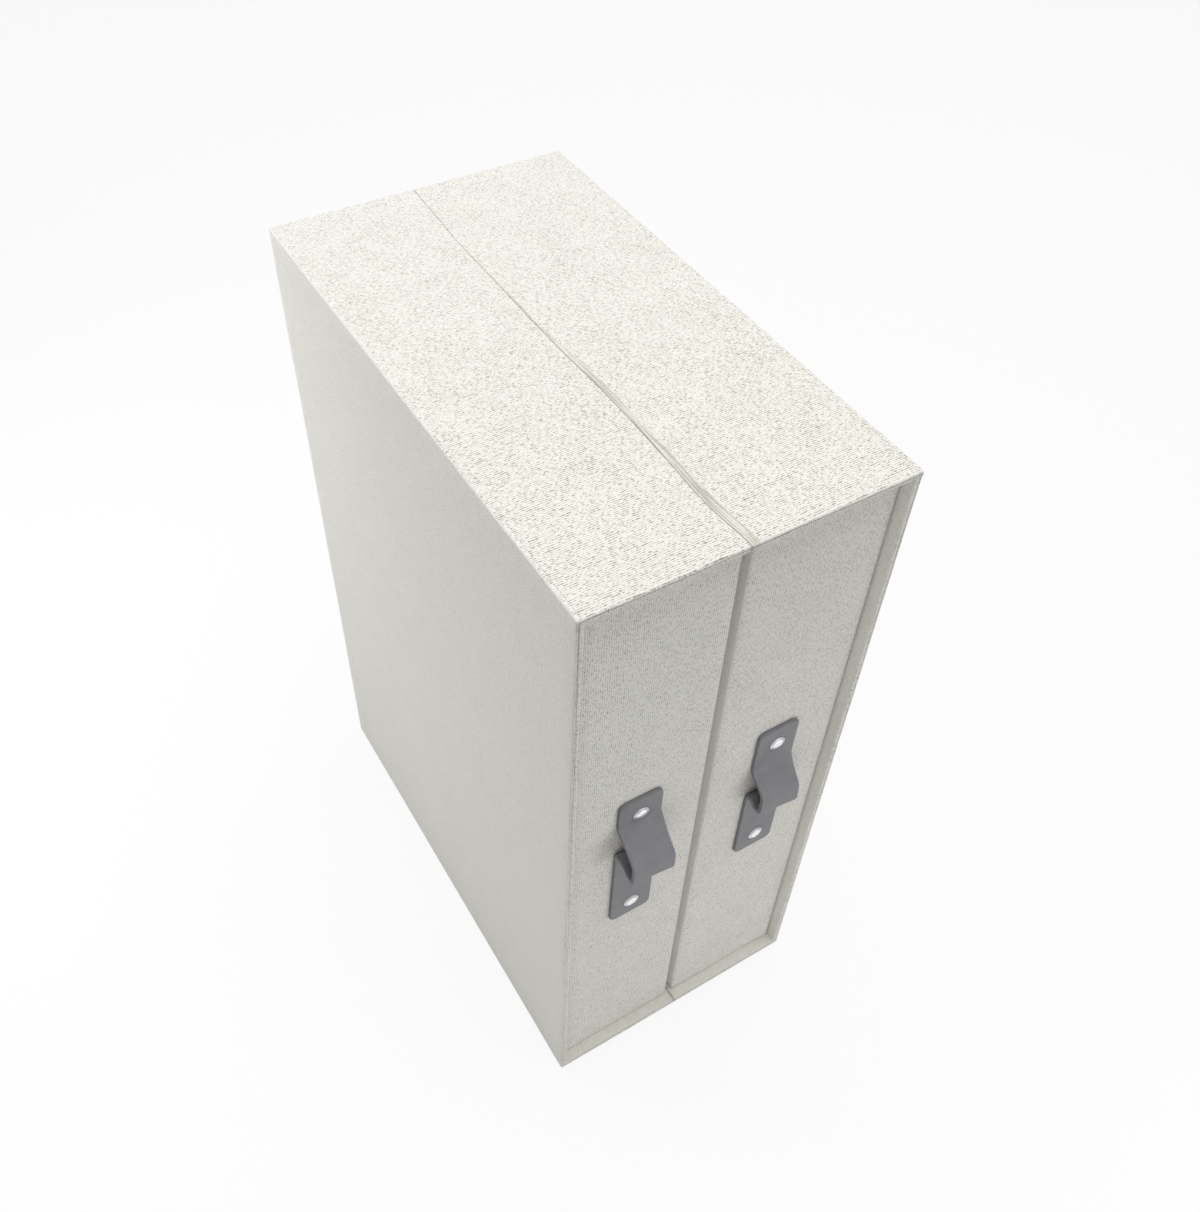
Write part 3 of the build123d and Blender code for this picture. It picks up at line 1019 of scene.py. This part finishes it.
def rivet_outline(front, washer_back, back):
    """Half of a rivet's outline, from the top of its cap to its clinched end."""
    seat = front + cap_height
    edge = math.degrees(math.asin((cap_radius - cap_roll) / dome_radius))
    dome = [
        (radius, depth + line_depth * bump_at(radius - line_radius, line_width))
        for radius, depth in arc((0, front + dome_radius), dome_radius, -90, -90 + edge, 36)
    ]
    rolled = arc((cap_radius - cap_roll, dome[-1][1] + cap_roll), cap_roll, -90 + edge, 60, 6)
    shank = [
        (cap_radius - 0.6 * mm, seat),
        (shank_radius, seat + 0.1 * mm),
        (shank_radius, washer_back),
    ]
    clinched = [
        (2.3 * mm, washer_back + 0.02 * mm),
        (2.2 * mm, washer_back + 0.25 * mm),
        (1.6 * mm, back),
        (0.9 * mm, back - 0.12 * mm),
        (0, back - 0.3 * mm),
    ]
    return [*dome, *rolled, *shank, *clinched]


def washer_outline(front, back):
    """Half of a washer's outline, back to where it starts."""
    inner = shank_radius + 0.05 * mm
    return [
        (inner, front),
        (washer_radius - washer_chamfer, front),
        (washer_radius, front + washer_chamfer),
        (washer_radius, back - washer_chamfer),
        (washer_radius - washer_chamfer, back),
        (inner, back),
        (inner, front),
    ]


def make_rivets(name):
    """Both rivets of one strap, and the washers behind them."""
    low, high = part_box(f"{name}_pull_rivets")
    washer_low, washer_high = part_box(f"{name}_pull_washers")
    x = (low.x + high.x) / 2
    heights = (low.z + cap_radius, high.z - cap_radius)
    rivets, washers = bmesh.new(), bmesh.new()
    for z in heights:
        spin_round(rivets, rivet_outline(low.y, washer_high.y, high.y), Vector((x, 0, z)))
        spin_round(washers, washer_outline(washer_low.y, washer_high.y), Vector((x, 0, z)))

    # Mark the rim and the struck line for painted dark reflection and more roughness
    dull_and_dark_reflection = rivets.verts.layers.float.new("dull_and_dark_reflection")
    for point in rivets.verts:
        rise = min(abs(point.co.z - z) for z in heights)
        from_line = abs(math.hypot(point.co.x - x, rise) - line_radius)
        on_line = from_line < 0.15 * mm and point.co.y < low.y + cap_height
        share = math.hypot(point.co.x - x, rise * dark_reflection_ends) / cap_radius
        point[dull_and_dark_reflection] = 1.0 if on_line else min(1.0, max(0.0, (share - dark_reflection_from) / (1 - dark_reflection_from)))
    for shell, kind in ((rivets, "rivets"), (washers, "washers")):
        bmesh.ops.recalc_face_normals(shell, faces=shell.faces)
        show(shell, f"{name}_{kind}", nickel, f"{name}_drawer", "rivet_metal", f"{name}_pull_{kind}")


for name in ("left", "right"):
    make_rivets(name)

# %% [markdown]
# ## Finish the plain pieces
# The boards and papers have the right shape already, so only their surface changes: each keeps its
# mesh, and the material in its slot is swapped for the one made above.

# %% Give the boards and papers their finish
finished = 0
for name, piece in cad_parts.items():
    if piece.hide_render:
        continue
    surface = greyboard
    if name.endswith("outer_paper"):
        surface = cover
    elif "lining" in name or name.endswith("base_sheet"):
        surface = lining
    for slot in piece.material_slots:
        slot.material = surface
    finished += 1
print("finished", finished, "plain pieces")

# %% [markdown]
# ## Floor and light
# The floor is a wide pale sheet. Mixing glow into it for the rays that the camera sees turns it white
# in the picture, while the light that it throws back on the box stays that of a plain pale floor, and
# the box's shadow still shows. The world does the same. A large soft lamp overhead makes the top the
# brightest face, as in a light tent. Three small ones lift what would be too dark: the left side
# toward its back, the lower front, and the inner side of the rim.

# %% Set the floor, the world and the lamps
sky_level = 0.31  # the light that the world gives the box, where white is 1
floor_tone = 0.66
floor_glow = 1.07
glow_share = 0.8
white = (1, 1, 1, 1)


def seen_by_camera(nodes):
    """One for rays that come from the camera, or that pass through glass or off metal."""
    rays = nodes.node("ShaderNodeLightPath", output="Is Camera Ray")
    seen = rays + rays.output("Is Glossy Ray") + rays.output("Is Transmission Ray")
    return nodes.sum("MINIMUM", seen, 1.0)


def floor_finish():
    """Pale floor that looks white and still takes a shadow."""
    finish = Finish("pale_floor", Roughness=0.9, Specular_IOR_Level=0.0)
    finish.surface.inputs["Base Color"].default_value = (floor_tone, floor_tone, floor_tone, 1)
    bright = {"Color": white, "Strength": floor_glow}
    glow = finish.node("ShaderNodeEmission", bright, output="Emission")
    output = finish.tree.nodes["Material Output"]
    share = seen_by_camera(finish) * glow_share
    mixed = finish.node("ShaderNodeMixShader", {0: share, 2: glow}, output="Shader")
    finish.tree.links.new(finish.surface.outputs["BSDF"], mixed.socket.node.inputs[1])
    finish.tree.links.new(mixed.socket, output.inputs["Surface"])
    return finish.material


floor_shell = bmesh.new()
bmesh.ops.create_grid(floor_shell, x_segments=1, y_segments=1, size=6)
floor_mesh = bpy.data.meshes.new("floor")
floor_shell.to_mesh(floor_mesh)
floor_shell.free()
floor_mesh.materials.append(floor_finish())
floor = bpy.data.objects.new("floor", floor_mesh)
bpy.context.scene.collection.objects.link(floor)

world = bpy.data.worlds.new("light_tent")
world.use_nodes = True
bpy.context.scene.world = world
sky = world.node_tree.nodes["Background"]
sky.inputs["Color"].default_value = white
sky_nodes = Nodes(world.node_tree)
strength = seen_by_camera(sky_nodes) * (1 - sky_level) + sky_level
world.node_tree.links.new(strength.socket, sky.inputs["Strength"])


def soft_lamp(name, place, target, size, power):
    """A square lamp that faces a point on the box. Its size is in metres and its power in watts."""
    light = bpy.data.lights.new(name, "AREA")
    light.size = size
    light.energy = power
    lamp = bpy.data.objects.new(name, light)
    lamp.location = place
    lamp.rotation_euler = (target - place).to_track_quat("-Z", "Y").to_euler()
    lamp.visible_camera = False
    bpy.context.scene.collection.objects.link(lamp)


middle_of_box = Vector((0, 0, 0.15))
upper_left_side = Vector((-0.06, 0.08, 0.27))
lower_front = Vector((0.02, -0.12, 0.1))
soft_lamp("overhead", Vector((0.2, -0.05, 2.2)), middle_of_box, size=1.6, power=31.5)
soft_lamp("left_fill", Vector((-0.38, 0.36, 0.36)), upper_left_side, size=0.25, power=0.95)
soft_lamp("front_fill", Vector((0.2, -0.5, 0.05)), lower_front, size=0.25, power=0.36)
soft_lamp("rim_fill", Vector((-0.2, -0.5, 0.05)), lower_front, size=0.25, power=0.14)
print("floor, world and lamps set")

# %% [markdown]
# ## The camera
# The picture was taken from above the left front corner, close enough for the box to narrow towards
# its foot. The camera's place and lens were worked out from the box's seven visible corners.

# %% Place the camera
camera_place = Vector((-186.05, -307.98, 589.03)) * mm
turn_right, look_down, lean = 33.94, 48.16, 3.18  # in degrees
data = bpy.data.cameras.new("camera")
data.sensor_width = 36.0
data.lens = 36.06
data.clip_start = 0.01
camera = bpy.data.objects.new("camera", data)
turn = Matrix.Rotation(math.radians(-turn_right), 4, "Z")
tilt = Matrix.Rotation(math.radians(90 - look_down), 4, "X")
roll = Matrix.Rotation(math.radians(lean), 4, "Z")
camera.matrix_world = Matrix.Translation(camera_place) @ (turn @ tilt) @ roll
bpy.context.scene.collection.objects.link(camera)
bpy.context.scene.camera = camera
bpy.context.scene.view_settings.view_transform = "Standard"
for name, way in (("looks along", Vector((0, 0, -1))), ("right is", Vector((1, 0, 0)))):
    print("camera", name, [round(part, 3) for part in camera.matrix_world.to_3x3() @ way])
